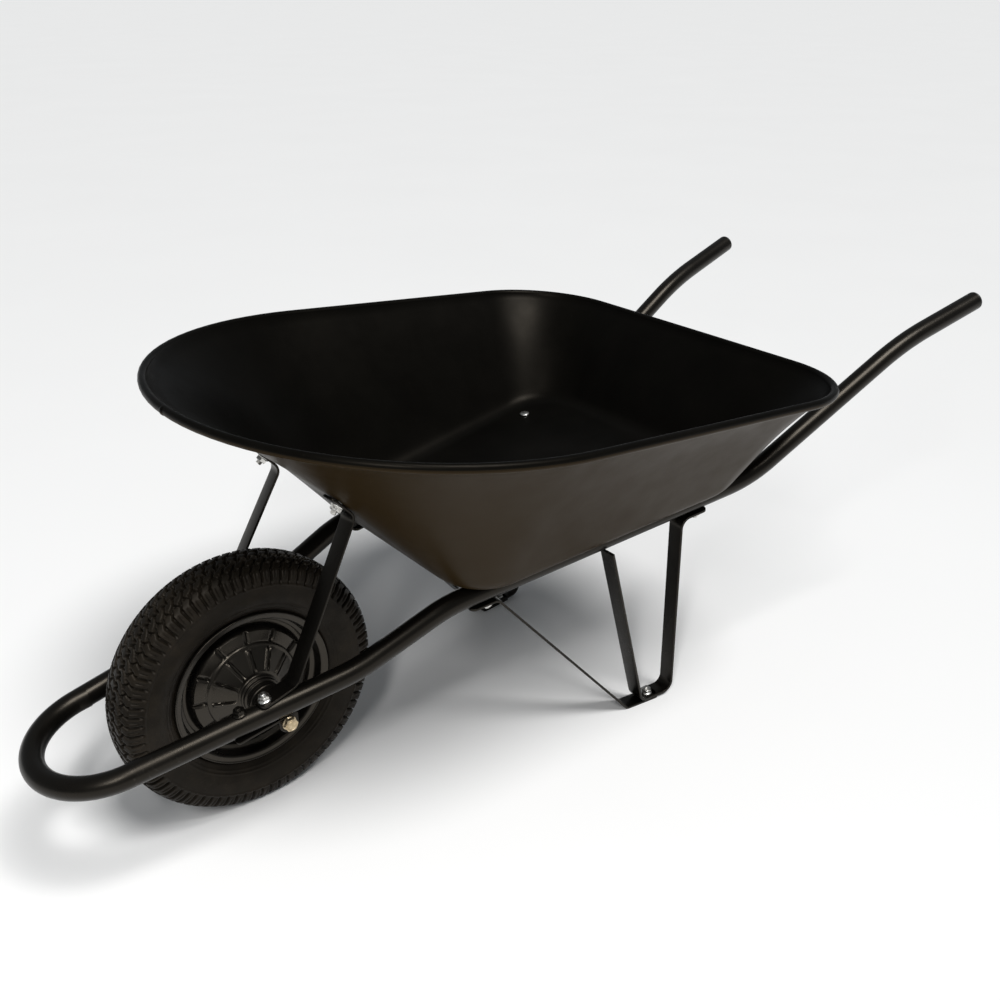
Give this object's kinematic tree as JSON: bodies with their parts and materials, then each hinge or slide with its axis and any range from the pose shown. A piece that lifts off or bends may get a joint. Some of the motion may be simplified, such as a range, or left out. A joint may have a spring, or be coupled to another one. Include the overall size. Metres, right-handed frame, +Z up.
{
  "type": "wheelbarrow",
  "caption": "Single-wheel barrow with a deep pressed steel tray on a bent tube frame, strap legs and a pneumatic wheel.",
  "frame": {"origin": "centre of the footprint box on the ground", "axes": "+X towards the handles, +Z up, +Y across the barrow so that the left nodes are on -Y"},
  "size_m": [1.4559, 0.694, 0.5617],
  "materials": {
    "tray_coat": "satin black powder coat",
    "frame_coat": "satin black powder coat",
    "wheel_paint": "gloss black paint",
    "tyre_rubber": "matt black rubber",
    "tube_rubber": "matt black rubber",
    "cap_plastic": "matt moulded plastic",
    "zinc_steel": "bright zinc plating",
    "axle_steel": "yellow zinc plating",
    "bearing_steel": "plain steel"
  },
  "bodies": {
    "chassis": {"axle_bolt": "axle_steel", "axle_bracket_left": "frame_coat", "axle_bracket_right": "frame_coat", "axle_nut": "axle_steel", "axle_spacer_left": "axle_steel", "axle_spacer_right": "axle_steel", "brace_bolt_left": "zinc_steel", "brace_bolt_right": "zinc_steel", "brace_nut_left": "zinc_steel", "brace_nut_right": "zinc_steel", "bracket_bolt_front_left": "frame_coat", "bracket_bolt_front_right": "frame_coat", "bracket_bolt_rear_left": "zinc_steel", "bracket_bolt_rear_right": "zinc_steel", "bracket_nut_front_left": "frame_coat", "bracket_nut_front_right": "frame_coat", "bracket_nut_rear_left": "zinc_steel", "bracket_nut_rear_right": "zinc_steel", "foot_bolt_left": "zinc_steel", "foot_bolt_right": "zinc_steel", "foot_nut_left": "zinc_steel", "foot_nut_right": "zinc_steel", "frame_tube": "frame_coat", "front_brace_left": "frame_coat", "front_brace_right": "frame_coat", "handle_cap_left": "cap_plastic", "handle_cap_right": "cap_plastic", "leg_left": "frame_coat", "leg_right": "frame_coat", "leg_strap_left": "frame_coat", "leg_strap_right": "frame_coat", "tray": "tray_coat", "tray_bolt_front_left": "zinc_steel", "tray_bolt_front_right": "zinc_steel", "tray_bolt_rear_left": "zinc_steel", "tray_bolt_rear_right": "zinc_steel", "tray_nut_front_left": "zinc_steel", "tray_nut_front_right": "zinc_steel", "tray_nut_rear_left": "zinc_steel", "tray_nut_rear_right": "zinc_steel"},
    "wheel": {"inner_tube": "tube_rubber", "tyre": "tyre_rubber", "valve_cap": "cap_plastic", "valve_stem": "tube_rubber", "wheel_bearing_left": "bearing_steel", "wheel_bearing_right": "bearing_steel", "wheel_disc_left": "wheel_paint", "wheel_disc_right": "wheel_paint", "wheel_hub": "wheel_paint", "wheel_rim": "wheel_paint"}
  },
  "joints": [
    {"name": "wheel_spin", "type": "hinge", "parent": "chassis", "child": "wheel", "pos_m": [-0.44853, 0, 0.175], "axis": [0, 1, 0], "continuous": true}
  ]
}
